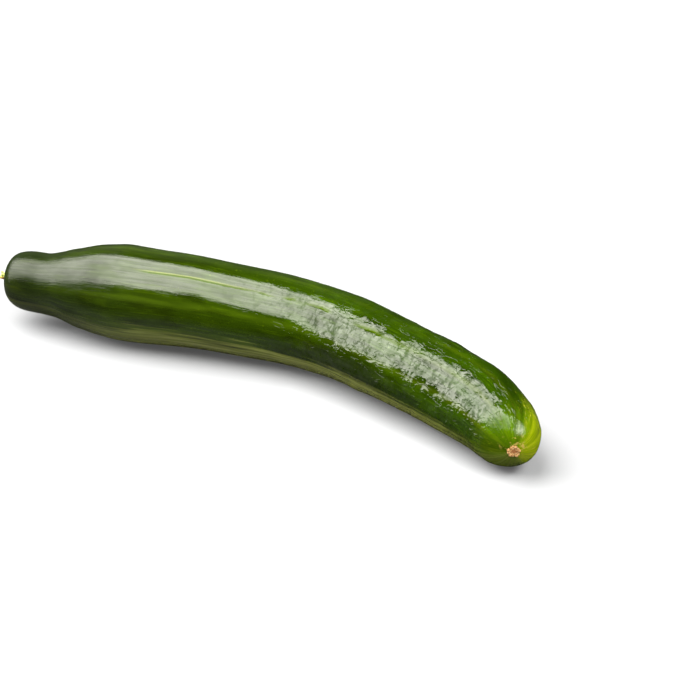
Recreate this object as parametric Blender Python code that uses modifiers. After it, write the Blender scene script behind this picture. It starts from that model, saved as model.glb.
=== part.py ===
"""A long salad cucumber lying on a table, grown as one piece: fruit, cut stem stub and blossom scar in one solid.

The fruit is a turned profile, bent along a flat curve, with the shallow ribs, the swells and the low bumps of
the skin raised by formula, and with three small flat spots where it rests. Lengths here are in millimetres and
become metres when the mesh is made. The stem end points to -X and the blossom end to +X.
"""

import math

import bpy
import numpy as np

MM = 0.001

# Length of the fruit along its own curve, and the half thickness along it from the stem end, before the ends
# are rounded off.
LENGTH = 330.0
STATIONS = (0, 10, 20, 30, 38, 46, 56, 72, 96, 125, 165, 205, 244, 284, 312, 330)
HALF_THICKNESS = (17.6, 16.9, 16.7, 18.1, 20.4, 22.5, 24.3, 25.8, 25.3, 24.2, 23.3, 22.5, 21.7, 20.6, 17.7, 15.7)

# Rounded ends: how far each one reaches along the fruit, and how square it is (2 is an ellipse).
STEM_CAP, STEM_SQUARENESS = 21.0, 3.1
BLOSSOM_CAP, BLOSSOM_SQUARENESS = 26.5, 2.6

# The curve of the fruit on the table: one long bend, then a tighter hook at the blossom end, in degrees.
BEND_START, BEND_LENGTH, BEND_ANGLE = 140.0, 70.0, 26.2
HOOK_START, HOOK_ANGLE, HOOK_POWER = 237.0, 53.0, 2.9

# Height of the underside over the table along the fruit. It touches at the shoulder, the middle and the far end.
LIFT_STATIONS = (0, 15, 30, 45, 72, 118, 166, 226, 286, 310, 330)
LIFT = (8.3, 8.3, 7.4, 3.3, 0.0, 1.3, 0.0, 1.3, 0.0, 0.8, 4.0)
SINK = 0.3
PLAIN_UNDERSIDE = 32.0

# Cut stub of the stem and corky scar of the blossom: radius, and how far each stands out.
STUB_RADIUS, STUB_HEIGHT = 3.2, 5.8
SCAR_RADIUS, SCAR_HEIGHT, SCAR_DISH = 3.5, 0.9, 0.5

# Relief of the skin: ribs round the fruit, three broad lobes, and swells along it.
RIBS, RIB_HEIGHT, RIB_TURN, RIB_TWIST = 10, 0.13, 6.5, 3.5
LOBE_HEIGHTS, LOBE_TURNS, LOBE_STATIONS = (0.9, 0.63), (77.0, 48.0), (79.0, 246.0)
SWELL_HEIGHT = 0.22
BUMPS, BUMP_HEIGHT, BUMP_RADIUS, BUMP_SEED = 90, 0.30, 5.5, 11

# Fineness of the faceted skin.
SIDES = 50
BODY_RINGS = 76
CAP_RINGS = 9

SKIN_GREEN = (0.035, 0.085, 0.008, 1.0)
SKIN_ROUGHNESS = 0.28


def smooth_through(stations, values, at):
    """A smooth curve through the values that never swings past them."""
    stations = np.asarray(stations, float)
    values = np.asarray(values, float)
    step = np.diff(stations)
    slope = np.diff(values) / step
    tangent = np.zeros(len(values))
    same_way = slope[:-1] * slope[1:] > 0
    before, after = step[:-1], step[1:]
    w1, w2 = 2 * after + before, after + 2 * before
    blend = (w1 + w2) / (w1 / np.where(same_way, slope[:-1], 1) + w2 / np.where(same_way, slope[1:], 1))
    tangent[1:-1] = np.where(same_way, blend, 0)
    tangent[0], tangent[-1] = slope[0], slope[-1]
    i = np.clip(np.searchsorted(stations, at) - 1, 0, len(step) - 1)
    t = (at - stations[i]) / step[i]
    h00 = 2 * t**3 - 3 * t**2 + 1
    h10 = t**3 - 2 * t**2 + t
    h01 = 3 * t**2 - 2 * t**3
    h11 = t**3 - t**2
    return h00 * values[i] + h10 * step[i] * tangent[i] + h01 * values[i + 1] + h11 * step[i] * tangent[i + 1]


def body_radius(along):
    return smooth_through(STATIONS, HALF_THICKNESS, np.clip(along, 0, LENGTH))


def ease(t):
    t = np.clip(t, 0, 1)
    return t * t * (3 - 2 * t)


def heading(along):
    """Direction of the fruit's axis in the plane of the table, in radians, turning clockwise from above."""
    bend = BEND_ANGLE * ease((along - BEND_START) / BEND_LENGTH)
    hook = HOOK_ANGLE * np.clip((along - HOOK_START) / (LENGTH - HOOK_START), 0, 1) ** HOOK_POWER
    return -np.radians(bend + hook)


def axis_points(along):
    """Points of the axis from above, with the stem end and the blossom end level in Y and the stem end first."""
    fine = np.linspace(-10, LENGTH + 10, 3001)
    angle = heading(fine)
    step = np.diff(fine)
    x = np.concatenate([[0], np.cumsum(np.cos((angle[1:] + angle[:-1]) / 2) * step)])
    y = np.concatenate([[0], np.cumsum(np.sin((angle[1:] + angle[:-1]) / 2) * step)])
    ends = [np.interp(s, fine, x) + 1j * np.interp(s, fine, y) for s in (0, LENGTH)]
    turn = -np.angle(ends[1] - ends[0])
    flat = (x + 1j * y - ends[0]) * np.exp(1j * turn)
    at = np.interp(along, fine, flat.real), np.interp(along, fine, flat.imag)
    return at[0], at[1], heading(along) + turn


def profile_points():
    """The turned profile as (radius, place along the axis), from the blossom end down to the stem end."""
    scar = [(0.0, LENGTH + SCAR_HEIGHT - SCAR_DISH)]
    scar += [(SCAR_RADIUS * 0.55, LENGTH + SCAR_HEIGHT - 0.1), (SCAR_RADIUS * 0.88, LENGTH + SCAR_HEIGHT)]
    scar += [(SCAR_RADIUS, LENGTH + SCAR_HEIGHT - 0.5)]
    caps = []
    for cap, power, inner in ((BLOSSOM_CAP, BLOSSOM_SQUARENESS, SCAR_RADIUS), (STEM_CAP, STEM_SQUARENESS, STUB_RADIUS)):
        points = []
        for angle in np.radians(np.linspace(0, 90, CAP_RINGS + 3)):
            depth = cap * (1 - math.cos(angle) ** (2 / power))
            along = LENGTH - depth if cap == BLOSSOM_CAP else depth
            radius = float(body_radius(along)) * math.sin(angle) ** (2 / power)
            if radius > inner + 0.5:
                points.append((radius, along))
        caps.append(points)
    blossom, stem = caps
    body = np.linspace(blossom[-1][1], stem[-1][1], BODY_RINGS + 2)[1:-1]
    stub = [(STUB_RADIUS * 1.12, 0.1), (STUB_RADIUS * 0.9, -STUB_HEIGHT * 0.35), (STUB_RADIUS * 0.82, -STUB_HEIGHT * 0.75)]
    stub += [(STUB_RADIUS * 0.72, -STUB_HEIGHT), (STUB_RADIUS * 0.35, -STUB_HEIGHT + 0.2), (0.0, -STUB_HEIGHT + 0.2)]
    return scar + blossom + [(float(body_radius(s)), float(s)) for s in body] + stem[::-1] + stub


def turned_blank():
    """The straight fruit, turned round Z, as a mesh."""
    mesh = bpy.data.meshes.new("profile")
    points = profile_points()
    mesh.from_pydata([(r, 0, z) for r, z in points], [(i, i + 1) for i in range(len(points) - 1)], [])
    blank = bpy.data.objects.new("profile", mesh)
    bpy.context.scene.collection.objects.link(blank)
    screw = blank.modifiers.new("turn", "SCREW")
    screw.axis = "Z"
    screw.steps = screw.render_steps = SIDES
    screw.use_merge_vertices = True
    screw.merge_threshold = 0.0001
    graph = bpy.context.evaluated_depsgraph_get()
    turned = bpy.data.meshes.new_from_object(blank.evaluated_get(graph))
    bpy.data.objects.remove(blank)
    bpy.data.meshes.remove(mesh)
    return turned


def skin_relief(along, angle):
    """How far the skin stands out: ribs, lobes, swells and low bumps, fading towards both ends and underneath."""
    fade = ease((along - 20) / 50) * ease((LENGTH - 6 - along) / 40)
    from_below = (angle + 1.5 * math.pi) % (2 * math.pi) - math.pi
    fade = fade * (1 - np.exp(-((np.degrees(from_below) / PLAIN_UNDERSIDE) ** 2)))
    phase = angle + np.radians(RIB_TURN + RIB_TWIST * along / LENGTH)
    rib = RIB_HEIGHT * (1 - 0.7 * ease((along - 150) / 80)) * np.cos(RIBS * phase)
    later = ease((along - LOBE_STATIONS[0]) / (LOBE_STATIONS[1] - LOBE_STATIONS[0]))
    lobe_turn = np.radians(LOBE_TURNS[0] + (LOBE_TURNS[1] - LOBE_TURNS[0]) * later)
    lobe = (LOBE_HEIGHTS[0] + (LOBE_HEIGHTS[1] - LOBE_HEIGHTS[0]) * later) * np.cos(3 * (angle - lobe_turn))
    swell = np.sin(along / 11.3 + 2 * angle) + np.sin(along / 7.9 - angle + 1.7) + np.sin(along / 17.5 - 2 * angle + 0.4)
    draw = np.random.default_rng(BUMP_SEED)
    bump = np.zeros_like(along)
    for _ in range(BUMPS):
        centre, side = draw.uniform(45, LENGTH - 12), draw.uniform(-math.pi, math.pi)
        height = BUMP_HEIGHT * draw.uniform(0.3, 1.0) * (0.35 + 0.65 * centre / LENGTH)
        round_way = (angle - side + math.pi) % (2 * math.pi) - math.pi
        apart = (along - centre) ** 2 + (round_way * body_radius(np.array(centre))) ** 2
        bump += height * np.exp(-apart / BUMP_RADIUS**2)
    return fade * (rib + lobe + SWELL_HEIGHT / 1.6 * swell + bump)


def bend_and_raise(mesh):
    """Moves each point of the straight fruit to its place on the lying one."""
    flat = np.empty(len(mesh.vertices) * 3)
    mesh.vertices.foreach_get("co", flat)
    x, y, along = flat.reshape(-1, 3).T
    radius = np.hypot(x, y)
    angle = np.arctan2(y, x)
    inside = np.clip(along, 0, LENGTH)
    on_skin = ease((radius - STUB_RADIUS) / 8)
    radius = radius + on_skin * skin_relief(along, angle)
    centre_x, centre_y, turn = axis_points(along)
    centre_z = body_radius(inside) + smooth_through(LIFT_STATIONS, LIFT, inside) - SINK
    out = radius * np.cos(angle)
    placed = np.stack([centre_x - out * np.sin(turn), centre_y + out * np.cos(turn), centre_z + radius * np.sin(angle)], -1)
    placed[:, 2] = np.maximum(placed[:, 2], 0)
    placed[:, :2] -= (placed[:, :2].max(0) + placed[:, :2].min(0)) / 2
    mesh.vertices.foreach_set("co", (placed * MM).ravel())
    mesh.update()


def skin_material():
    material = bpy.data.materials.new("cucumber_skin")
    material.use_nodes = True
    shader = material.node_tree.nodes["Principled BSDF"]
    shader.inputs["Base Color"].default_value = SKIN_GREEN
    shader.inputs["Roughness"].default_value = SKIN_ROUGHNESS
    shader.inputs["Metallic"].default_value = 0.0
    return material


def main():
    for obj in list(bpy.data.objects):
        bpy.data.objects.remove(obj)
    collection = bpy.data.collections.new("cucumber")
    bpy.context.scene.collection.children.link(collection)
    mesh = turned_blank()
    mesh.name = "cucumber"
    bend_and_raise(mesh)
    mesh.materials.clear()
    mesh.materials.append(skin_material())
    mesh.shade_smooth()
    collection.objects.link(bpy.data.objects.new("cucumber", mesh))


main()
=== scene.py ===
"""Looks of the cucumber: a fine skin over the solid, its stem stub and blossom scar, and the studio round it.

Lengths in the fruit's own sections are in millimetres, as in the part's source, and become metres where the
fruit is laid down. The fruit is drawn straight first, along its own axis, and then laid on its curve, so each
piece of it also knows its place on the straight fruit, which the materials read.
"""

import itertools
import math

import bpy
import numpy as np
from mathutils import Matrix, Vector

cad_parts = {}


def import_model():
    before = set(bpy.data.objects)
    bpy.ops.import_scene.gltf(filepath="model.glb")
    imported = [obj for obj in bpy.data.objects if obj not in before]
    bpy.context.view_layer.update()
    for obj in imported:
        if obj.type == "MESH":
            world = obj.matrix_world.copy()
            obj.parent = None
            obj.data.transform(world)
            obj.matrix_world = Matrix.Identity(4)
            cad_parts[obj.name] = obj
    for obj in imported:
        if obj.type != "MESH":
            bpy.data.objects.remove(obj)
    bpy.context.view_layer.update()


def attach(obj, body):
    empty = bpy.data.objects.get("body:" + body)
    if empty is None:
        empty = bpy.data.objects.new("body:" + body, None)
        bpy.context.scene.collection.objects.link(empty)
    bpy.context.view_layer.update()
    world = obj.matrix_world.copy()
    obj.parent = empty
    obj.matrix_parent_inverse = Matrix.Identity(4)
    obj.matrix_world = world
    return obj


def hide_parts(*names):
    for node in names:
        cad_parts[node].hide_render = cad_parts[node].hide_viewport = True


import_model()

MM = 0.001

# The fruit, as in the part's source: length along its curve and half thickness from the stem end.
LENGTH = 330.0
STATIONS = (0, 10, 20, 30, 38, 46, 56, 72, 96, 125, 165, 205, 244, 284, 312, 330)
HALF_THICKNESS = (
    17.6, 16.9, 16.7, 18.1, 20.4, 22.5, 24.3, 25.8,
    25.3, 24.2, 23.3, 22.5, 21.7, 20.6, 17.7, 15.7,
)
STEM_CAP, STEM_SQUARENESS = 21.0, 3.1
BLOSSOM_CAP, BLOSSOM_SQUARENESS = 26.5, 2.6
BEND_START, BEND_LENGTH, BEND_ANGLE = 140.0, 70.0, 26.2
HOOK_START, HOOK_ANGLE, HOOK_POWER = 237.0, 53.0, 2.9
LIFT_STATIONS = (0, 15, 30, 45, 72, 118, 166, 226, 286, 310, 330)
LIFT = (8.3, 8.3, 7.4, 3.3, 0.0, 1.3, 0.0, 1.3, 0.0, 0.8, 4.0)
SINK = 0.3
PLAIN_UNDERSIDE = 32.0
STUB_RADIUS, STUB_HEIGHT, STUB_FIBRES = 3.2, 5.8, 16
SCAR_RADIUS, SCAR_HEIGHT = 3.5, 0.9
# Rings of lumps on the scar: how many, how far out, and their smallest and largest radius.
SCAR_RINGS = ((11, 2.55, 0.62, 0.98), (6, 1.35, 0.42, 0.75))
# How far from the stub the relief of the skin takes to come in.
POLE_FADE = 8.0
RIBS, RIB_HEIGHT, RIB_TURN, RIB_TWIST = 10, 0.13, 6.5, 3.5
LOBE_HEIGHTS, LOBE_TURNS, LOBE_STATIONS = (0.9, 0.63), (77.0, 48.0), (79.0, 246.0)
SWELL_HEIGHT = 0.22
BUMPS, BUMP_HEIGHT, BUMP_RADIUS, BUMP_SEED = 90, 0.30, 5.5, 11

# The one deep furrow, by its angle round the fruit, and the tube that its wandering is drawn on.
MAIN_FURROW, SLIM_RADIUS = 119.0, 9.0
# Its depth, in a narrow line and in a broad hollow, beside the depth of the other furrows, and both widths.
FURROW_LINE, FURROW_HOLLOW, OTHER_FURROWS = 0.17, 0.09, 0.02
LINE_WIDTH, HOLLOW_WIDTH = 0.5, 1.5

# Fine relief of the visible skin: each height at the neck, and how much it grows to the blossom end.
DENT_HEIGHT, DENT_GROWTH = 0.04, 0.32
RIPPLE_HEIGHT, RIPPLE_GROWTH = 0.015, 0.060
THREAD_HEIGHT, THREAD_GROWTH = 0.024, 0.010
# Relief that only the blossom half has: cells, wide creases, long strokes, and the crust by the tip.
CELL_HEIGHT, CREASE_DEPTH, STROKE_DEPTH, CRUST_DEPTH = 0.030, 0.20, 0.06, 0.09

# Fineness of the visible skin: sides crowd towards the furrows, and rings towards the blossom end.
SIDES_PER_RIB, CROWDING = 26, 0.35
STEM_RINGS, BODY_RINGS, BLOSSOM_RINGS = 20, 288, 64
BODY_CROWDING, TIP_CROWDING = 0.5, 1.4

# Camera: where it looks from, in degrees, the point on the table at the middle of its picture, and its lens.
CAMERA_AZIMUTH, CAMERA_ELEVATION = 31.9, 30.0
CAMERA_DISTANCE = 1.032
CAMERA_TARGET = (0.0116, 0.0477, 0.0)
CAMERA_LENS, CAMERA_SENSOR = 100.0, 36.0

# The big softbox: its place from the camera's target (right, toward the camera, up), size and brightness.
MAIN_PLACE, MAIN_SIZE, MAIN_RADIANCE = (-1.188, -0.231, 1.543), (2.29, 2.88), 14.0
MAIN_YAW, MAIN_TILT, MAIN_ROLL = -200.8, 36.1, 42.3
LIGHT_COLOUR = (1.0, 1.0, 0.88)

# The spot on the blossom end: degrees right of the camera's side, and down from straight above.
# Then its distance from the camera's target, its roll, its ovals' proportions, and size and brightness.
SPOT_RIGHT, SPOT_DOWN, SPOT_DISTANCE, SPOT_ROLL = 47.0, 40.0, 1.5, 20.0
SPOT_WIDTH, SPOT_BREADTH = 1.35, 0.85
SPOT_RINGS = ((0.5, 14.0), (0.75, 10.0), (1.0, 5.0), (1.3, 2.5))

# The floor: half its side and the gap under the fruit in metres, its grey, and its image in the skin.
# The image is brighter round one point, under the neck.
FLOOR_HALF, FLOOR_GAP = 6.0, 0.0002
FLOOR_GREY = (0.212, 0.212, 0.241, 1)
FLOOR_IMAGE, FLOOR_IMAGE_BY_NECK = (0.01, 0.01, 0.011, 1), (0.078, 0.078, 0.090, 1)
FLOOR_BY_NECK = (-0.12, -0.03, 0.0)

# The light wall of the room: how far it is turned from the camera, its rise, soft edge and brightness.
WALL_TURN, WALL_RISE = 32.0, 0.15
WALL_EDGE, WALL_BRIGHTNESS = (0.72, 0.98), (0.01, 0.30)


def smooth_through(stations, values, at):
    """A smooth curve through the values that never swings past them."""
    stations = np.asarray(stations, float)
    values = np.asarray(values, float)
    step = np.diff(stations)
    slope = np.diff(values) / step
    tangent = np.zeros(len(values))
    same_way = slope[:-1] * slope[1:] > 0
    before, after = step[:-1], step[1:]
    w1, w2 = 2 * after + before, after + 2 * before
    blend = (w1 + w2) / (w1 / np.where(same_way, slope[:-1], 1) + w2 / np.where(same_way, slope[1:], 1))
    tangent[1:-1] = np.where(same_way, blend, 0)
    tangent[0], tangent[-1] = slope[0], slope[-1]
    i = np.clip(np.searchsorted(stations, at) - 1, 0, len(step) - 1)
    t = (at - stations[i]) / step[i]
    h00 = 2 * t**3 - 3 * t**2 + 1
    h10 = t**3 - 2 * t**2 + t
    h01 = 3 * t**2 - 2 * t**3
    h11 = t**3 - t**2
    from_start = h00 * values[i] + h10 * step[i] * tangent[i]
    return from_start + h01 * values[i + 1] + h11 * step[i] * tangent[i + 1]


def body_radius(along):
    return smooth_through(STATIONS, HALF_THICKNESS, np.clip(along, 0, LENGTH))


def ease(t):
    t = np.clip(t, 0, 1)
    return t * t * (3 - 2 * t)


def heading(along):
    """Direction of the fruit's axis in the plane of the table, in radians, turning clockwise from above."""
    bend = BEND_ANGLE * ease((along - BEND_START) / BEND_LENGTH)
    hook = HOOK_ANGLE * np.clip((along - HOOK_START) / (LENGTH - HOOK_START), 0, 1) ** HOOK_POWER
    return -np.radians(bend + hook)


def axis_points(along):
    """Points of the axis from above, stem end first, with both ends level in Y, and its heading at each."""
    fine = np.linspace(-10, LENGTH + 10, 3001)
    angle = heading(fine)
    step = np.diff(fine)
    x = np.concatenate([[0], np.cumsum(np.cos((angle[1:] + angle[:-1]) / 2) * step)])
    y = np.concatenate([[0], np.cumsum(np.sin((angle[1:] + angle[:-1]) / 2) * step)])
    ends = [np.interp(s, fine, x) + 1j * np.interp(s, fine, y) for s in (0, LENGTH)]
    turn = -np.angle(ends[1] - ends[0])
    flat = (x + 1j * y - ends[0]) * np.exp(1j * turn)
    at = np.interp(along, fine, flat.real), np.interp(along, fine, flat.imag)
    return at[0], at[1], heading(along) + turn


def underside_share(angle):
    """0 right underneath, where the skin is plain, and 1 on the rest of the fruit."""
    from_below = (angle + 1.5 * math.pi) % (2 * math.pi) - math.pi
    return 1 - np.exp(-((np.degrees(from_below) / PLAIN_UNDERSIDE) ** 2))


def rib_phase(along, angle):
    """The angle round the fruit counted from a rib, as the ribs turn a little along it."""
    return angle + np.radians(RIB_TURN + RIB_TWIST * along / LENGTH)


def on_slim_tube(along, phase):
    """Points on a tube of one thickness, on which noise runs the same way all along the fruit."""
    return np.stack([SLIM_RADIUS * np.cos(phase), SLIM_RADIUS * np.sin(phase), along], -1)


def solid_relief(along, angle):
    """The relief that the solid has too: ribs, lobes, swells and low bumps."""
    fade = ease((along - 20) / 50) * ease((LENGTH - 6 - along) / 40) * underside_share(angle)
    phase = rib_phase(along, angle)
    rib = RIB_HEIGHT * (1 - 0.7 * ease((along - 150) / 80)) * np.cos(RIBS * phase)
    later = ease((along - LOBE_STATIONS[0]) / (LOBE_STATIONS[1] - LOBE_STATIONS[0]))
    lobe_turn = np.radians(LOBE_TURNS[0] + (LOBE_TURNS[1] - LOBE_TURNS[0]) * later)
    lobe = (LOBE_HEIGHTS[0] + (LOBE_HEIGHTS[1] - LOBE_HEIGHTS[0]) * later) * np.cos(3 * (angle - lobe_turn))
    swell = np.sin(along / 11.3 + 2 * angle)
    swell = swell + np.sin(along / 7.9 - angle + 1.7)
    swell = swell + np.sin(along / 17.5 - 2 * angle + 0.4)
    draw = np.random.default_rng(BUMP_SEED)
    bump = np.zeros_like(along)
    for _ in range(BUMPS):
        centre, side = draw.uniform(45, LENGTH - 12), draw.uniform(-math.pi, math.pi)
        height = BUMP_HEIGHT * draw.uniform(0.3, 1.0) * (0.35 + 0.65 * centre / LENGTH)
        round_way = (angle - side + math.pi) % (2 * math.pi) - math.pi
        apart = (along - centre) ** 2 + (round_way * body_radius(np.array(centre))) ** 2
        bump += height * np.exp(-apart / BUMP_RADIUS**2)
    return fade * (rib + lobe + SWELL_HEIGHT / 1.6 * swell + bump)


def noise(points, cell, seed):
    """Smooth noise, about -1 to 1, at each row of points. cell is the size of a grain in X, Y and Z."""
    draw = np.random.default_rng(seed)
    shuffled = draw.permutation(256)
    slopes = draw.normal(size=(256, 3))
    slopes /= np.linalg.norm(slopes, axis=1)[:, None]
    spot = points / np.asarray(cell, float)
    corner = np.floor(spot).astype(int)
    part = spot - corner
    faded = part**3 * (part * (part * 6 - 15) + 10)
    total = np.zeros(len(points))
    for step in itertools.product((0, 1), repeat=3):
        i, j, k = (corner + step).T & 255
        mixed = shuffled[(shuffled[(shuffled[i] + j) & 255] + k) & 255]
        weight = np.prod(np.where(step, faded, 1 - faded), axis=1)
        total += weight * (slopes[mixed] * (part - step)).sum(1)
    return 1.6 * total


def creases(points, cell, seed, width):
    """1 along thin wandering lines, 0 between them."""
    return np.exp(-((noise(points, cell, seed) / width) ** 2))


def furrow_apart(along, angle):
    """How far each point is from the nearest furrow, which wanders and widens from the middle on."""
    grown = ease((along - 125) / 50)
    phase = rib_phase(along, angle)
    spot = on_slim_tube(along, phase)
    wander = grown * (0.065 * noise(spot, (7, 7, 15), 21) + 0.028 * noise(spot, (4, 4, 4.5), 24))
    off = (RIBS * (phase + wander) / (2 * math.pi)) % 1 - 0.5
    return off * 2 * math.pi / RIBS * body_radius(along) / (1 + 0.9 * ease((along - 150) / 45))


def main_furrow_share(along, angle):
    """1 by the one deep furrow, where it is there, and 0 on the rest of the fruit."""
    phase = rib_phase(along, angle)
    near = ease((np.cos(phase - math.radians(MAIN_FURROW + RIB_TURN)) - 0.90) / 0.09)
    spot = on_slim_tube(along, phase)
    whole = 1 - ease((along - 135) / 25)
    broken = np.clip(0.60 + 1.5 * noise(spot, (9, 9, 8), 22), 0.0, 1.0)
    return near * ease((along - 76) / 14) * ease((265 - along) / 50) * np.maximum(whole, broken)


def furrow_depth(along, angle):
    """Narrow furrows between the ribs: one is deep, clean by the shoulder and broken up further on."""
    apart = furrow_apart(along, angle)
    main = main_furrow_share(along, angle)
    present = ease((along - 45) / 35) * ease((LENGTH - 10 - along) / 60)
    narrow = FURROW_LINE * main * np.exp(-((apart / LINE_WIDTH) ** 2))
    broad = (OTHER_FURROWS + FURROW_HOLLOW * main) * np.exp(-((apart / HOLLOW_WIDTH) ** 2))
    return -present * (narrow + broad)


def fine_relief(along, angle, straight):
    """The relief that only the visible skin has: dents, wrinkles and creases, stronger to the blossom end."""
    grown = ease((along - 120) / 130)
    late = ease((along - 200) / 80)
    ends = ease((along - 6) / 26) * ease((LENGTH - 3 - along) / 8) * underside_share(angle)
    patchy = ease(0.5 + 1.2 * noise(straight, (9, 9, 12), 6))
    dents = (DENT_HEIGHT + DENT_GROWTH * grown) * noise(straight, (7, 7, 8), 1)
    cells = CELL_HEIGHT * grown * (0.4 + 0.9 * patchy) * noise(straight, (3.0, 3.0, 4.5), 2)
    ripples = (RIPPLE_HEIGHT + RIPPLE_GROWTH * grown) * noise(straight, (9, 9, 3.6), 3)
    threads = (THREAD_HEIGHT + THREAD_GROWTH * late) * noise(straight, (1.4, 1.4, 10), 4)
    wide = -CREASE_DEPTH * grown * (0.2 + 0.8 * patchy) * creases(straight, (9.5, 9.5, 6.0), 5, 0.085)
    strokes = -STROKE_DEPTH * ease((along - 170) / 80) * creases(straight, (3.6, 3.6, 13.0), 9, 0.09)
    where = ease((noise(straight, (6, 6, 12), 12) + 0.02) / 0.3)
    by_tip = ease((along - 268) / 22) * ease((325 - along) / 6)
    crust = -CRUST_DEPTH * by_tip * creases(straight, (2.6, 2.6, 4.2), 14, 0.15)
    rough = dents + cells + ripples + threads
    lines = wide + strokes * where + crust
    return ends * (rough + lines + furrow_depth(along, angle))


def fruit_rings():
    """(place along the axis, radius) of each ring of the skin, with the ends drawn in to the poles."""
    turn = np.radians(np.linspace(0, 90, STEM_RINGS + 1))[1:]
    stem_along = STEM_CAP * (1 - np.cos(turn) ** (2 / STEM_SQUARENESS))
    stem_radius = body_radius(stem_along) * np.sin(turn) ** (2 / STEM_SQUARENESS)
    turn = np.radians(90 * (1 - np.linspace(0, 1, BLOSSOM_RINGS + 1)[:-1] ** TIP_CROWDING))
    blossom_along = LENGTH - BLOSSOM_CAP * (1 - np.cos(turn) ** (2 / BLOSSOM_SQUARENESS))
    blossom_radius = body_radius(blossom_along) * np.sin(turn) ** (2 / BLOSSOM_SQUARENESS)
    share = np.linspace(0, 1, BODY_RINGS + 2)[1:-1]
    share = (1 + BODY_CROWDING) * share - BODY_CROWDING * share**2
    body = stem_along[-1] + (blossom_along[0] - stem_along[-1]) * share
    along = np.concatenate([stem_along, body, blossom_along])
    radius = np.concatenate([stem_radius, body_radius(body), blossom_radius])
    return along, radius


def ring_angles(along):
    """Angles of the sides at each place along the fruit: they follow the furrows and crowd towards them."""
    share = np.arange(SIDES_PER_RIB) / SIDES_PER_RIB
    share = share - CROWDING * np.sin(2 * math.pi * share) / (2 * math.pi)
    phase = ((np.arange(RIBS)[:, None] + 0.5 + share) / RIBS * 2 * math.pi).ravel()
    return phase[None] - np.radians(RIB_TURN + RIB_TWIST * np.asarray(along)[:, None] / LENGTH)


def lay_down(along, radius, angle):
    """Points of the lying fruit, in metres, from places on the straight one."""
    inside = np.clip(along, 0, LENGTH)
    centre_x, centre_y, turn = axis_points(along)
    centre_z = body_radius(inside) + smooth_through(LIFT_STATIONS, LIFT, inside) - SINK
    out = radius * np.cos(angle)
    x = centre_x - out * np.sin(turn)
    y = centre_y + out * np.cos(turn)
    z = np.maximum(centre_z + radius * np.sin(angle), 0)
    return np.stack([x, y, z], -1) * MM


def outline_middle():
    """The middle of the solid's outline from above, which the frame has at its origin."""
    along, radius = fruit_rings()
    along = np.concatenate([[-STUB_HEIGHT], along, [LENGTH + SCAR_HEIGHT]])
    radius = np.concatenate([[STUB_RADIUS], radius, [SCAR_RADIUS * 0.88]])
    s, a = (g.ravel() for g in np.meshgrid(along, np.radians(np.arange(0, 360, 2)), indexing="ij"))
    r = np.repeat(radius, 180)
    r = r + ease((r - STUB_RADIUS) / POLE_FADE) * solid_relief(s, a)
    flat = lay_down(s, r, a)[:, :2]
    return (flat.max(0) + flat.min(0)) / 2


MIDDLE = outline_middle()


def on_curve(along, radius, angle):
    placed = lay_down(along, radius, angle)
    placed[:, :2] -= MIDDLE
    return placed


def tube_faces(rings, sides):
    """Quads between rings of points, then a fan at each end to the two pole points that follow them."""
    faces = []
    for i in range(rings - 1):
        for j in range(sides):
            k = (j + 1) % sides
            faces.append((i * sides + j, (i + 1) * sides + j, (i + 1) * sides + k, i * sides + k))
    first, last = rings * sides, rings * sides + 1
    faces += [(first, j, (j + 1) % sides) for j in range(sides)]
    base = (rings - 1) * sides
    faces += [(last, base + (j + 1) % sides, base + j) for j in range(sides)]
    return faces


def add_object(name, data):
    made = bpy.data.objects.new(name, data)
    bpy.context.scene.collection.objects.link(made)
    return made


def mesh_piece(name, points, faces, straight, material, numbers=()):
    """A smooth mesh that keeps each point's place on the straight fruit and any named numbers."""
    mesh = bpy.data.meshes.new(name)
    mesh.from_pydata([tuple(p) for p in points], [], faces)
    kept = mesh.attributes.new("straight", "FLOAT_VECTOR", "POINT")
    kept.data.foreach_set("vector", np.asarray(straight, np.float32).ravel())
    for key, values in dict(numbers).items():
        mesh.attributes.new(key, "FLOAT", "POINT").data.foreach_set("value", np.asarray(values, np.float32))
    mesh.shade_smooth()
    mesh.materials.append(material)
    return add_object(name, mesh)


def skin(material):
    along, radius = fruit_rings()
    a = ring_angles(along)
    sides = a.shape[1]
    s, r, a = np.repeat(along, sides), np.repeat(radius, sides), a.ravel()
    straight = np.stack([r * np.cos(a), r * np.sin(a), s], -1)
    r = r + ease((r - STUB_RADIUS) / POLE_FADE) * (solid_relief(s, a) + fine_relief(s, a, straight))
    poles = np.array([0.0, LENGTH])
    points = np.concatenate([on_curve(s, r, a), on_curve(poles, np.zeros(2), np.zeros(2))])
    straight = np.concatenate([straight, [[0, 0, 0], [0, 0, LENGTH]]])
    numbers = {
        "furrow_apart": np.append(furrow_apart(s, a), [9, 9]),
        "furrow_share": np.append(main_furrow_share(s, a), [0, 0]),
    }
    piece = mesh_piece("cucumber_skin", points, tube_faces(len(along), sides), straight, material, numbers)
    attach(piece, "root")
    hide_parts("cucumber")
    return piece


def blob(centre, size, seed, stretch, rough, rows=14, sides=20):
    """Points and faces of a small lumpy ball on the straight fruit, whose axis is Z."""
    up = np.radians(np.linspace(-90, 90, rows))[1:-1]
    turn = np.linspace(0, 2 * math.pi, sides, endpoint=False)
    v, u = (g.ravel() for g in np.meshgrid(up, turn, indexing="ij"))
    ball = np.stack([np.cos(v) * np.cos(u), np.cos(v) * np.sin(u), np.sin(v)], -1)
    ball = np.concatenate([ball, [[0, 0, -1.0], [0, 0, 1.0]]])
    ball *= 1 + rough * noise(ball + seed * 3.1, (0.45, 0.45, 0.45), seed)[:, None]
    return np.asarray(centre) + size * ball * np.asarray(stretch), tube_faces(rows - 2, sides)


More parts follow.
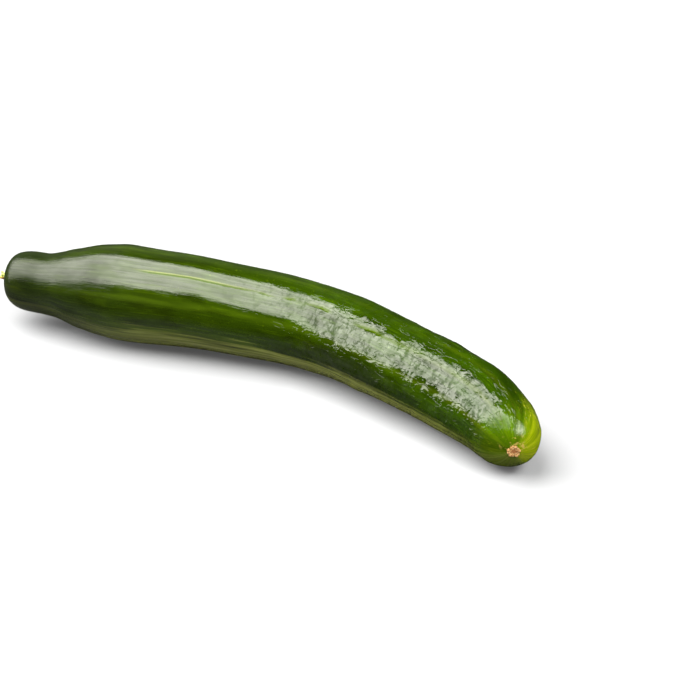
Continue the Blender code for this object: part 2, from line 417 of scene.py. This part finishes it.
def joined(parts):
    """One list of points and faces from several."""
    points, faces, start = [], [], 0
    for part_points, part_faces in parts:
        points.append(part_points)
        faces += [tuple(i + start for i in face) for face in part_faces]
        start += len(part_points)
    return np.concatenate(points), faces


def add_small_piece(name, parts, material):
    straight, faces = joined(parts)
    radius = np.hypot(straight[:, 0], straight[:, 1])
    placed = on_curve(straight[:, 2], radius, np.arctan2(straight[:, 1], straight[:, 0]))
    piece = mesh_piece(name, placed, faces, straight, material)
    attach(piece, "root")
    return piece


def blossom_scar(material):
    """The corky disc where the blossom fell off: uneven rings of small lumps round a crumbly middle."""
    draw = np.random.default_rng(31)
    parts = [blob((0, 0, LENGTH + 0.02), 2.2, 40, (1, 1, 0.2), 0.35)]
    for count, ring, low, high in SCAR_RINGS:
        for i in range(count):
            turn = 2 * math.pi * (i + draw.uniform(-0.3, 0.3)) / count
            size = draw.uniform(low, high)
            out = ring + draw.uniform(-0.3, 0.22)
            centre = (out * math.cos(turn), out * math.sin(turn), LENGTH + 0.12 + draw.uniform(-0.15, 0.15))
            parts.append(blob(centre, size, 50 + i + count, (1, 1, 0.62), 0.45))
    return add_small_piece("blossom_scar", parts, material)


def stem_stub(material):
    """The torn stub of the stem: a short ragged plug with a few fibres standing out of it."""
    draw = np.random.default_rng(33)
    foot = blob((0, 0, -0.4), 3.0, 60, (1, 1, 0.45), 0.3, 18, 28)
    plug = blob((0, 0, -2.2), 1.9, 61, (1, 1, 1.5), 0.35, 18, 24)
    parts = [foot, plug]
    for i in range(STUB_FIBRES):
        turn = 2 * math.pi * (i + draw.uniform(-0.4, 0.4)) / STUB_FIBRES
        out = draw.uniform(1.0, 2.35)
        centre = (out * math.cos(turn), out * math.sin(turn), draw.uniform(-4.5, -1.5))
        size = draw.uniform(0.32, 0.6)
        parts.append(blob(centre, size, 70 + i, (1, 1, draw.uniform(1.4, 2.2)), 0.45))
    return add_small_piece("stem_stub", parts, material)


# Radius of the fruit of one thickness that the streaks are drawn on.
EVEN_RADIUS = 22.0

# Skin greens from the neck to the blossom end: (share of the length, linear colour).
GREENS = (
    (0.00, (0.0060, 0.0095, 0.0024)),
    (0.12, (0.0058, 0.0105, 0.0014)),
    (0.30, (0.0085, 0.0165, 0.0004)),
    (0.55, (0.0080, 0.0178, 0.0002)),
    (0.80, (0.0070, 0.0165, 0.0002)),
    (0.93, (0.0066, 0.0168, 0.0002)),
    (1.00, (0.0240, 0.0500, 0.0004)),
)
STRIPE_GREENS = ((0.0, (0.016, 0.026, 0.003)), (0.5, (0.034, 0.058, 0.001)), (1.0, (0.10, 0.12, 0.003)))
CLOUD_TINT, SHADE_TINT = (1.75, 1.7, 0.8, 1), (0.55, 0.52, 0.6, 1)
THREAD_TINT, SPECK_TINT = (1.9, 1.75, 1.0, 1), (2.6, 2.1, 1.5, 1)
# Painted shade for the lower flank, and the painted reflection of the floor along the bottom, in green and
# streak.
PAINTED_SHADE_TINT = (0.58, 0.46, 0.3, 1)
PAINTED_REFLECTION_GREEN, PAINTED_REFLECTION_STREAK = (0.078, 0.088, 0.014, 1), (0.142, 0.154, 0.040, 1)
# The green on one side of the tip is partly the fruit's own colour and partly painted light.
TIP_GREEN_AND_PAINTED_LIGHT, VEIN_GREEN, FLECK_BROWN = (0.132, 0.170, 0.0008, 1), (0.30, 0.27, 0.02, 1), (0.26, 0.19, 0.045, 1)
# The furrow's painted highlight beside it, and the green inside it.
FURROW_PAINTED_HIGHLIGHT, FURROW_GREEN = (0.140, 0.160, 0.025, 1), (0.034, 0.056, 0.001, 1)

# Cork and stub: stops of grain, from dark to pale.
CORK_BROWNS = ((0.36, (0.15, 0.05, 0.014)), (0.48, (0.31, 0.16, 0.055)), (0.64, (0.52, 0.34, 0.17)))
CORK_CORE = (0.17, 0.055, 0.016, 1)
STUB_COLOURS = (
    (0.32, (0.12, 0.035, 0.008)),
    (0.43, (0.32, 0.13, 0.03)),
    (0.53, (0.17, 0.21, 0.035)),
    (0.68, (0.42, 0.42, 0.18)),
)


class Nodes:
    """Short ways to add and join shader nodes."""

    def __init__(self, name):
        self.material = bpy.data.materials.new(name)
        self.material.use_nodes = True
        self.tree = self.material.node_tree
        self.shader = self.tree.nodes["Principled BSDF"]

    def add(self, kind, inputs=(), **settings):
        node = self.tree.nodes.new("ShaderNode" + kind)
        for key, value in settings.items():
            setattr(node, key, value)
        for key, value in dict(inputs).items():
            self.join(value, node.inputs[key])
        return node

    def join(self, value, socket):
        if isinstance(value, bpy.types.NodeSocket):
            self.tree.links.new(value, socket)
        else:
            socket.default_value = value

    def attribute(self, name):
        return self.add("Attribute", attribute_name=name, attribute_type="GEOMETRY")

    def math(self, operation, *values):
        node = self.add("Math", operation=operation)
        for socket, value in zip(node.inputs, values):
            self.join(value, socket)
        return node.outputs[0]

    def times(self, first, *others):
        for other in others:
            first = self.math("MULTIPLY", first, other)
        return first

    def noise(self, vector, scale, detail, roughness, distortion=0.0):
        """Noise in grains of about 1 / scale of the vector's unit, in X, Y and Z."""
        scaled = self.add("VectorMath", operation="MULTIPLY")
        self.join(vector, scaled.inputs[0])
        scaled.inputs[1].default_value = scale
        node = self.add("TexNoise", noise_dimensions="3D")
        self.join(scaled.outputs[0], node.inputs["Vector"])
        node.inputs["Scale"].default_value = 1.0
        node.inputs["Detail"].default_value = detail
        node.inputs["Roughness"].default_value = roughness
        node.inputs["Distortion"].default_value = distortion
        return node.outputs[0]

    def remap(self, value, low, high, to_low=0.0, to_high=1.0):
        """Eases from to_low at low to to_high at high, and keeps to them outside."""
        node = self.add("MapRange", interpolation_type="SMOOTHSTEP")
        for socket, number in zip(node.inputs, (value, low, high, to_low, to_high)):
            self.join(number, socket)
        return node.outputs[0]

    def from_line(self, value, middle):
        """How far a value is from the middle, on either side."""
        return self.math("ABSOLUTE", self.math("SUBTRACT", value, middle))

    def mix(self, share, first, second, blend="MIX"):
        node = self.add("Mix", data_type="RGBA", blend_type=blend)
        self.join(share, node.inputs[0])
        self.join(first, node.inputs[6])
        self.join(second, node.inputs[7])
        return node.outputs[2]

    def tinted(self, share, colour, tint):
        """The colour, multiplied by the tint where share is 1."""
        return self.mix(share, colour, self.mix(1.0, colour, tint, "MULTIPLY"))

    def varied(self, value, share, factor):
        """The value, multiplied by the factor where share is 1."""
        return self.times(value, self.math("MULTIPLY_ADD", share, self.math("SUBTRACT", factor, 1.0), 1.0))

    def ramp(self, value, stops):
        node = self.add("ValToRGB")
        self.join(value, node.inputs[0])
        elements = node.color_ramp.elements
        while len(elements) < len(stops):
            elements.new(0.5)
        for element, (place, colour) in zip(elements, stops):
            element.position = place
            element.color = (*colour, 1)
        return node.outputs[0]

    def bump(self, height, distance, strength, normal=None):
        node = self.add("Bump")
        node.inputs["Strength"].default_value = strength
        node.inputs["Distance"].default_value = distance
        self.join(height, node.inputs["Height"])
        if normal is not None:
            self.join(normal, node.inputs["Normal"])
        return node.outputs[0]


class SkinNodes(Nodes):
    """Nodes of the skin, with each point's place on the straight fruit at hand, in millimetres."""

    def __init__(self, name):
        super().__init__(name)
        self.straight = self.attribute("straight").outputs["Vector"]
        x, y, self.place = self.add("SeparateXYZ", {"Vector": self.straight}).outputs
        self.share = self.math("DIVIDE", self.place, LENGTH)
        squared = self.math("ADD", self.times(x, x), self.times(y, y))
        self.radius = self.math("SQRT", squared)
        axis_free = self.math("MAXIMUM", self.radius, 0.01)
        self.side = self.math("DIVIDE", x, axis_free)
        self.height = self.math("DIVIDE", y, axis_free)
        # The same place on a fruit of one thickness, so that streaks run out of the ends like rays.
        across, up = self.times(self.side, EVEN_RADIUS), self.times(self.height, EVEN_RADIUS)
        self.even = self.add("CombineXYZ", {0: across, 1: up, 2: self.place}).outputs[0]
        turned = self.math("MULTIPLY_ADD", self.share, math.radians(RIB_TWIST), math.radians(RIB_TURN))
        phase = self.times(self.math("ADD", self.math("ARCTAN2", y, x), turned), RIBS)
        # 0 on the ribs and 1 along the middle of the hollows between them.
        self.hollow = self.math("MULTIPLY_ADD", self.math("COSINE", phase), -0.5, 0.5)

    def along(self, low, high, to_low=0.0, to_high=1.0):
        """Eases from one value to another between two places along the fruit."""
        return self.remap(self.place, low, high, to_low, to_high)


def rind_green(n):
    """The green of the rind: clouds, thin threads, specks, and pale stripes in the hollows."""
    colour = n.ramp(n.share, GREENS)
    cloud = n.noise(n.even, (0.10, 0.10, 0.035), 3.0, 0.55)
    colour = n.tinted(n.remap(cloud, 0.46, 0.66, 0.0, 0.75), colour, CLOUD_TINT)
    shade = n.noise(n.even, (0.20, 0.20, 0.045), 4.0, 0.6)
    colour = n.tinted(n.remap(shade, 0.48, 0.66, 0.0, 0.7), colour, SHADE_TINT)
    thread = n.noise(n.even, (1.1, 1.1, 0.05), 3.0, 0.65)
    colour = n.tinted(n.remap(thread, 0.50, 0.70, 0.0, 0.75), colour, THREAD_TINT)
    speck = n.noise(n.even, (0.85, 0.85, 0.6), 2.0, 0.5)
    speck = n.times(n.remap(speck, 0.66, 0.74, 0.0, 0.8), n.along(60, 130))
    colour = n.tinted(speck, colour, SPECK_TINT)
    kept = n.noise(n.straight, (0.12, 0.12, 0.022), 2.0, 0.5)
    stripe = n.times(n.math("POWER", n.hollow, 7.0), n.remap(kept, 0.38, 0.60, 0.05, 0.55))
    stripe = n.times(stripe, n.math("SUBTRACT", n.along(25, 80), n.along(130, 200, 0.0, 0.75)))
    return n.mix(stripe, colour, n.ramp(n.share, STRIPE_GREENS))


def with_painted_shade_and_reflection(n, colour):
    """Painted shade: darker green low on the flank. Below it, a pale streaky band along the bottom that is a
    painted reflection of the floor.
    """
    # Painted shade: the lower flank is darkened and browned towards the bottom, standing in for the shade
    # that falls there.
    low = n.times(n.remap(n.height, 0.55, 0.20), n.along(130, 210, 0.25, 0.85))
    low = n.times(low, n.math("SUBTRACT", n.along(215, 285, 1.0, 0.1), n.along(300, 325, 0.0, -0.5)))
    colour = n.tinted(low, colour, PAINTED_SHADE_TINT)
    # Painted reflection: a pale streaky band along the bottom stands in for the floor mirrored in the skin.
    ragged = n.noise(n.even, (0.55, 0.55, 0.02), 3.0, 0.6)
    painted_reflection = n.remap(n.math("MULTIPLY_ADD", ragged, 0.7, n.height), 0.21, -0.05)
    painted_reflection = n.times(painted_reflection, n.along(35, 95, 0.12, 0.85), n.along(255, 320, 1.0, 0.35))
    streak = n.remap(n.noise(n.even, (0.8, 0.8, 0.02), 2.0, 0.5), 0.35, 0.65)
    return n.mix(painted_reflection, colour, n.mix(streak, PAINTED_REFLECTION_GREEN, PAINTED_REFLECTION_STREAK))


def with_blossom_end(n, colour):
    """Yellow green, partly painted light, and thin veins on one side of the blossom end, and brown flecks
    round the scar.
    """
    # The yellow green on this side of the tip is the tip's own colour and partly painted light: it is made
    # lighter in place of light falling on that side.
    patchy = n.remap(n.noise(n.even, (0.30, 0.30, 0.05), 3.0, 0.6), 0.35, 0.62, 0.5, 1.0)
    tip = n.times(n.along(301, 325), n.remap(n.side, 0.32, 0.85), patchy)
    colour = n.mix(tip, colour, TIP_GREEN_AND_PAINTED_LIGHT)
    vein = n.from_line(n.noise(n.even, (0.75, 0.75, 0.06), 3.0, 0.6, 0.6), 0.42)
    vein_share = n.times(n.along(300, 316, 0.0, 0.8), n.remap(n.side, 0.2, 0.7, 0.1, 1.0))
    colour = n.mix(n.times(n.remap(vein, 0.016, 0.005), vein_share), colour, VEIN_GREEN)
    fleck = n.remap(n.noise(n.straight, (0.40, 0.40, 0.40), 4.0, 0.7), 0.52, 0.60, 0.0, 0.8)
    round_scar = n.times(n.remap(n.radius, 9.5, 6.0), n.along(318, 326))
    return n.mix(n.times(fleck, round_scar, n.remap(n.height, 0.0, 0.5, 0.1, 1.0)), colour, FLECK_BROWN)


def with_furrow_and_painted_highlight(n, colour, apart, deep, inside):
    """The deep furrow's dark green line, and a painted highlight along the edge beside it."""
    # Painted highlight: a pale line along one edge of the furrow, where its wall would catch the light.
    painted_highlight = n.remap(n.math("ABSOLUTE", n.math("ADD", apart, 0.75)), 0.55, 0.10)
    painted_highlight = n.times(deep, painted_highlight, n.along(118, 160, 1.0, 0.15))
    colour = n.mix(n.times(painted_highlight, 0.45), colour, FURROW_PAINTED_HIGHLIGHT)
    return n.mix(n.times(inside, 0.8), colour, FURROW_GREEN)


def wax(n, inside):
    """How glossy the rind's wax is from place to place."""
    streak = n.remap(n.noise(n.even, (0.8, 0.8, 0.04), 3.0, 0.6), 0.35, 0.66, 1.0, 0.0)
    weight = n.math("MULTIPLY_ADD", streak, n.along(50, 110, 0.16, 0.20), n.along(50, 110, 0.42, 0.44))
    smear = n.remap(n.noise(n.straight, (0.10, 0.10, 0.22), 2.0, 0.5), 0.38, 0.62, -0.22, 0.04)
    weight = n.times(weight, n.math("MULTIPLY_ADD", smear, n.along(150, 200), 1.0))
    mottle = n.remap(n.noise(n.straight, (0.34, 0.34, 0.40), 3.0, 0.55), 0.34, 0.50, 0.52, 1.16)
    weight = n.varied(weight, n.along(85, 230), mottle)
    weight = n.times(weight, n.along(15, 90, 0.66, 1.08))
    worn = n.remap(n.noise(n.even, (0.07, 0.07, 0.045), 3.0, 0.6), 0.36, 0.60, 0.80, 1.14)
    weight = n.varied(weight, n.along(60, 120, 1.0, 0.0), worn)
    weight = n.times(weight, n.math("MULTIPLY_ADD", inside, -0.65, 1.0))
    # Thin broken gaps that wander across the blossom half.
    gap = n.from_line(n.noise(n.straight, (0.06, 0.06, 0.10), 4.0, 0.62, 0.4), 0.5)
    broken = n.remap(n.noise(n.straight, (0.11, 0.11, 0.08), 2.0, 0.5), 0.42, 0.56)
    gaps = n.times(n.remap(gap, 0.006, 0.040, 0.6, 0.0), n.times(broken, n.along(145, 205)))
    weight = n.times(weight, n.math("SUBTRACT", 1.0, gaps))
    dull = n.times(n.along(315, 322), n.remap(n.side, 0.05, -0.35))
    return n.times(weight, n.math("MULTIPLY_ADD", dull, -0.75, 1.0))


def fine_bumps(n):
    """Relief too fine for the mesh: scratches, pits, folds, and a grain that softens both ends' gloss."""
    scratches = n.noise(n.even, (1.5, 1.5, 0.08), 3.0, 0.6)
    scratches = n.times(scratches, n.along(45, 90, 1.7, 1.1), n.along(130, 220, 1.0, 0.3))
    scratched = n.bump(scratches, 0.00010, 0.5)
    pits = n.times(n.noise(n.straight, (0.75, 0.75, 0.45), 3.0, 0.6), n.along(80, 240, 0.0, 0.18))
    fold = n.from_line(n.noise(n.straight, (0.30, 0.30, 0.13), 2.0, 0.5, 0.5), 0.5)
    torn = n.remap(n.noise(n.straight, (0.20, 0.20, 0.16), 2.0, 0.5), 0.40, 0.56, 0.15, 1.0)
    folds = n.times(n.remap(fold, 0.0, 0.055, -1.0, 0.0), torn)
    relief = n.math("MULTIPLY_ADD", folds, n.times(n.along(120, 270), 0.8), pits)
    relief = n.times(relief, n.along(316, 326, 1.0, 0.3))
    grain = n.noise(n.straight, (2.3, 2.3, 2.3), 1.0, 0.5)
    soft = n.math("ADD", n.along(110, 8, 0.04, 0.62), n.along(312, 324, 0.0, 0.22))
    relief = n.math("MULTIPLY_ADD", grain, soft, relief)
    return n.bump(relief, 0.00018, 0.8, scratched)


def skin_material():
    n = SkinNodes("cucumber_skin")
    apart = n.attribute("furrow_apart").outputs["Fac"]
    deep = n.attribute("furrow_share").outputs["Fac"]
    inside = n.times(deep, n.remap(n.math("ABSOLUTE", apart), 0.70, 0.20))
    colour = with_blossom_end(n, with_painted_shade_and_reflection(n, rind_green(n)))
    n.join(with_furrow_and_painted_highlight(n, colour, apart, deep, inside), n.shader.inputs["Base Color"])
    n.shader.inputs["Roughness"].default_value = 0.45
    n.shader.inputs["Specular IOR Level"].default_value = 0.0
    n.join(wax(n, inside), n.shader.inputs["Coat Weight"])
    n.shader.inputs["Coat Roughness"].default_value = 0.045
    n.shader.inputs["Coat IOR"].default_value = 1.5
    normal = fine_bumps(n)
    n.join(normal, n.shader.inputs["Coat Normal"])
    n.join(normal, n.shader.inputs["Normal"])
    return n.material


def cork_material():
    n = Nodes("cork")
    straight = n.attribute("straight").outputs["Vector"]
    x, y, _ = n.add("SeparateXYZ", {"Vector": straight}).outputs
    out = n.math("SQRT", n.math("ADD", n.math("POWER", x, 2.0), n.math("POWER", y, 2.0)))
    grain = n.noise(straight, (1.7, 1.7, 1.7), 4.0, 0.65)
    core = n.math("MULTIPLY_ADD", n.noise(straight, (0.9, 0.9, 0.9), 2.0, 0.5), 1.6, out)
    colour = n.mix(n.remap(core, 1.3, 2.5, 0.85, 0.0), n.ramp(grain, CORK_BROWNS), CORK_CORE)
    n.join(colour, n.shader.inputs["Base Color"])
    n.shader.inputs["Roughness"].default_value = 0.85
    n.shader.inputs["Specular IOR Level"].default_value = 0.2
    n.join(n.bump(grain, 0.0005, 1.0), n.shader.inputs["Normal"])
    return n.material


def stub_material():
    n = Nodes("stem_stub")
    straight = n.attribute("straight").outputs["Vector"]
    _, y, _ = n.add("SeparateXYZ", {"Vector": straight}).outputs
    grain = n.noise(straight, (0.6, 0.6, 0.35), 4.0, 0.65, 0.4)
    tone = n.math("MULTIPLY_ADD", y, 0.055, grain)
    n.join(n.ramp(tone, STUB_COLOURS), n.shader.inputs["Base Color"])
    n.shader.inputs["Roughness"].default_value = 0.7
    n.shader.inputs["Specular IOR Level"].default_value = 0.2
    n.join(n.bump(grain, 0.0005, 0.9), n.shader.inputs["Normal"])
    return n.material


def camera():
    data = bpy.data.cameras.new("camera")
    data.lens, data.sensor_width = CAMERA_LENS, CAMERA_SENSOR
    data.clip_end = 100
    azimuth, elevation = math.radians(CAMERA_AZIMUTH), math.radians(CAMERA_ELEVATION)
    level = math.cos(elevation)
    way = Vector((math.sin(azimuth) * level, -math.cos(azimuth) * level, math.sin(elevation)))
    made = add_object("camera", data)
    made.location = Vector(CAMERA_TARGET) + CAMERA_DISTANCE * way
    made.rotation_euler = way.to_track_quat("Z", "Y").to_euler()
    bpy.context.scene.camera = made


def seen_from_camera(right, toward, up):
    """A point in the frame, from its metres to the right of the camera's target, towards it and up."""
    azimuth = math.radians(CAMERA_AZIMUTH)
    across = Vector((math.cos(azimuth), math.sin(azimuth), 0))
    nearer = Vector((math.sin(azimuth), -math.cos(azimuth), 0))
    return Vector(CAMERA_TARGET) + right * across + toward * nearer + up * Vector((0, 0, 1))


def softbox(name, place, rotation, size, radiance, shape="RECTANGLE"):
    """A light of even brightness all over its face. Its power is that of a rectangle of its size."""
    data = bpy.data.lights.new(name, "AREA")
    data.shape = shape
    data.size, data.size_y = size
    data.energy = radiance * math.pi * data.size * data.size_y
    data.color = LIGHT_COLOUR
    made = add_object(name, data)
    made.location = place
    made.rotation_euler = rotation
    return made


def main_light():
    """The big softbox, behind the fruit to the left, that draws the bright band along it."""
    yaw, tilt, roll = math.radians(MAIN_YAW), math.radians(MAIN_TILT), math.radians(MAIN_ROLL)
    way = Vector((math.sin(tilt) * math.cos(yaw), math.sin(tilt) * math.sin(yaw), math.cos(tilt)))
    side = Vector((0, 0, 1)).cross(way).normalized()
    upward = way.cross(side)
    across = side * math.cos(roll) + upward * math.sin(roll)
    origin = Vector(CAMERA_TARGET)
    turn = [seen_from_camera(*v) - origin for v in (across, across.cross(way), way)]
    rotation = Matrix(turn).transposed().to_euler()
    softbox("main", seen_from_camera(*MAIN_PLACE), rotation, MAIN_SIZE, MAIN_RADIANCE)


def end_spot():
    """The soft spot beside the scar: one oval light inside another, each wider one fainter."""
    across, down = math.radians(SPOT_RIGHT), math.radians(SPOT_DOWN)
    out = SPOT_DISTANCE * math.sin(down)
    place = seen_from_camera(out * math.sin(across), out * math.cos(across), SPOT_DISTANCE * math.cos(down))
    way = (place - Vector(CAMERA_TARGET)).to_track_quat("Z", "Y")
    rotation = (way.to_matrix() @ Matrix.Rotation(math.radians(SPOT_ROLL), 3, "Z")).to_euler()
    for size, radiance in SPOT_RINGS:
        oval = (SPOT_WIDTH * size, SPOT_BREADTH * size)
        softbox(f"end_spot_{int(100 * size)}", place, rotation, oval, radiance, "ELLIPSE")


def floor():
    n = Nodes("floor")
    # Its mirror image in the skin stays faint, although it looks nearly white itself.
    path = n.add("LightPath").outputs
    place = n.add("TexCoord").outputs["Object"]
    from_neck = n.add("VectorMath", {0: place, 1: FLOOR_BY_NECK}, operation="DISTANCE").outputs["Value"]
    near_neck = n.remap(from_neck, 0.07, 0.23, 1.0, 0.0)
    just_under = n.remap(path["Ray Length"], 0.05, 0.12, 1.0, 0.0)
    image = n.mix(n.times(near_neck, just_under), FLOOR_IMAGE, FLOOR_IMAGE_BY_NECK)
    n.join(n.mix(path["Is Glossy Ray"], FLOOR_GREY, image), n.shader.inputs["Base Color"])
    n.shader.inputs["Roughness"].default_value = 0.7
    n.shader.inputs["Specular IOR Level"].default_value = 0.1
    # Painted light: to the camera the floor glows, faintly by the fruit, which lifts its shadow there, and
    # fully far off, so that it runs white into the white beyond it.
    far = n.add("VectorMath", {0: place}, operation="LENGTH").outputs["Value"]
    glow = n.times(path["Is Camera Ray"], n.remap(far, 0.35, 1.4, 0.07, 1.0))
    n.shader.inputs["Emission Color"].default_value = (1, 1, 1, 1)
    n.join(glow, n.shader.inputs["Emission Strength"])
    mesh = bpy.data.meshes.new("floor")
    half = FLOOR_HALF
    corners = [(-half, -half, 0), (half, -half, 0), (half, half, 0), (-half, half, 0)]
    mesh.from_pydata(corners, [], [(0, 1, 2, 3)])
    mesh.materials.append(n.material)
    made = add_object("floor", mesh)
    made.location.z = -FLOOR_GAP


def world():
    """A dark room with a faint light wall behind the fruit, and plain white to the camera."""
    made = bpy.data.worlds.new("studio")
    made.use_nodes = True
    tree = made.node_tree
    background = tree.nodes["Background"]
    background.inputs["Color"].default_value = (1, 1, 1, 1)
    azimuth = math.radians(CAMERA_AZIMUTH + WALL_TURN)
    way = tree.nodes.new("ShaderNodeTexCoord")
    towards = tree.nodes.new("ShaderNodeVectorMath")
    towards.operation = "DOT_PRODUCT"
    tree.links.new(way.outputs["Generated"], towards.inputs[0])
    towards.inputs[1].default_value = (-math.sin(azimuth), math.cos(azimuth), WALL_RISE)
    wall = tree.nodes.new("ShaderNodeMapRange")
    for socket, number in zip(list(wall.inputs)[1:5], (*WALL_EDGE, *WALL_BRIGHTNESS)):
        socket.default_value = number
    tree.links.new(towards.outputs["Value"], wall.inputs["Value"])
    path = tree.nodes.new("ShaderNodeLightPath")
    level = tree.nodes.new("ShaderNodeMapRange")
    level.inputs["To Max"].default_value = 1.0
    tree.links.new(path.outputs["Is Camera Ray"], level.inputs["Value"])
    tree.links.new(wall.outputs[0], level.inputs["To Min"])
    tree.links.new(level.outputs[0], background.inputs["Strength"])
    bpy.context.scene.world = made


bpy.context.scene.view_settings.view_transform = "Standard"
camera()
skin(skin_material())
blossom_scar(cork_material())
stem_stub(stub_material())
main_light()
end_spot()
floor()
world()
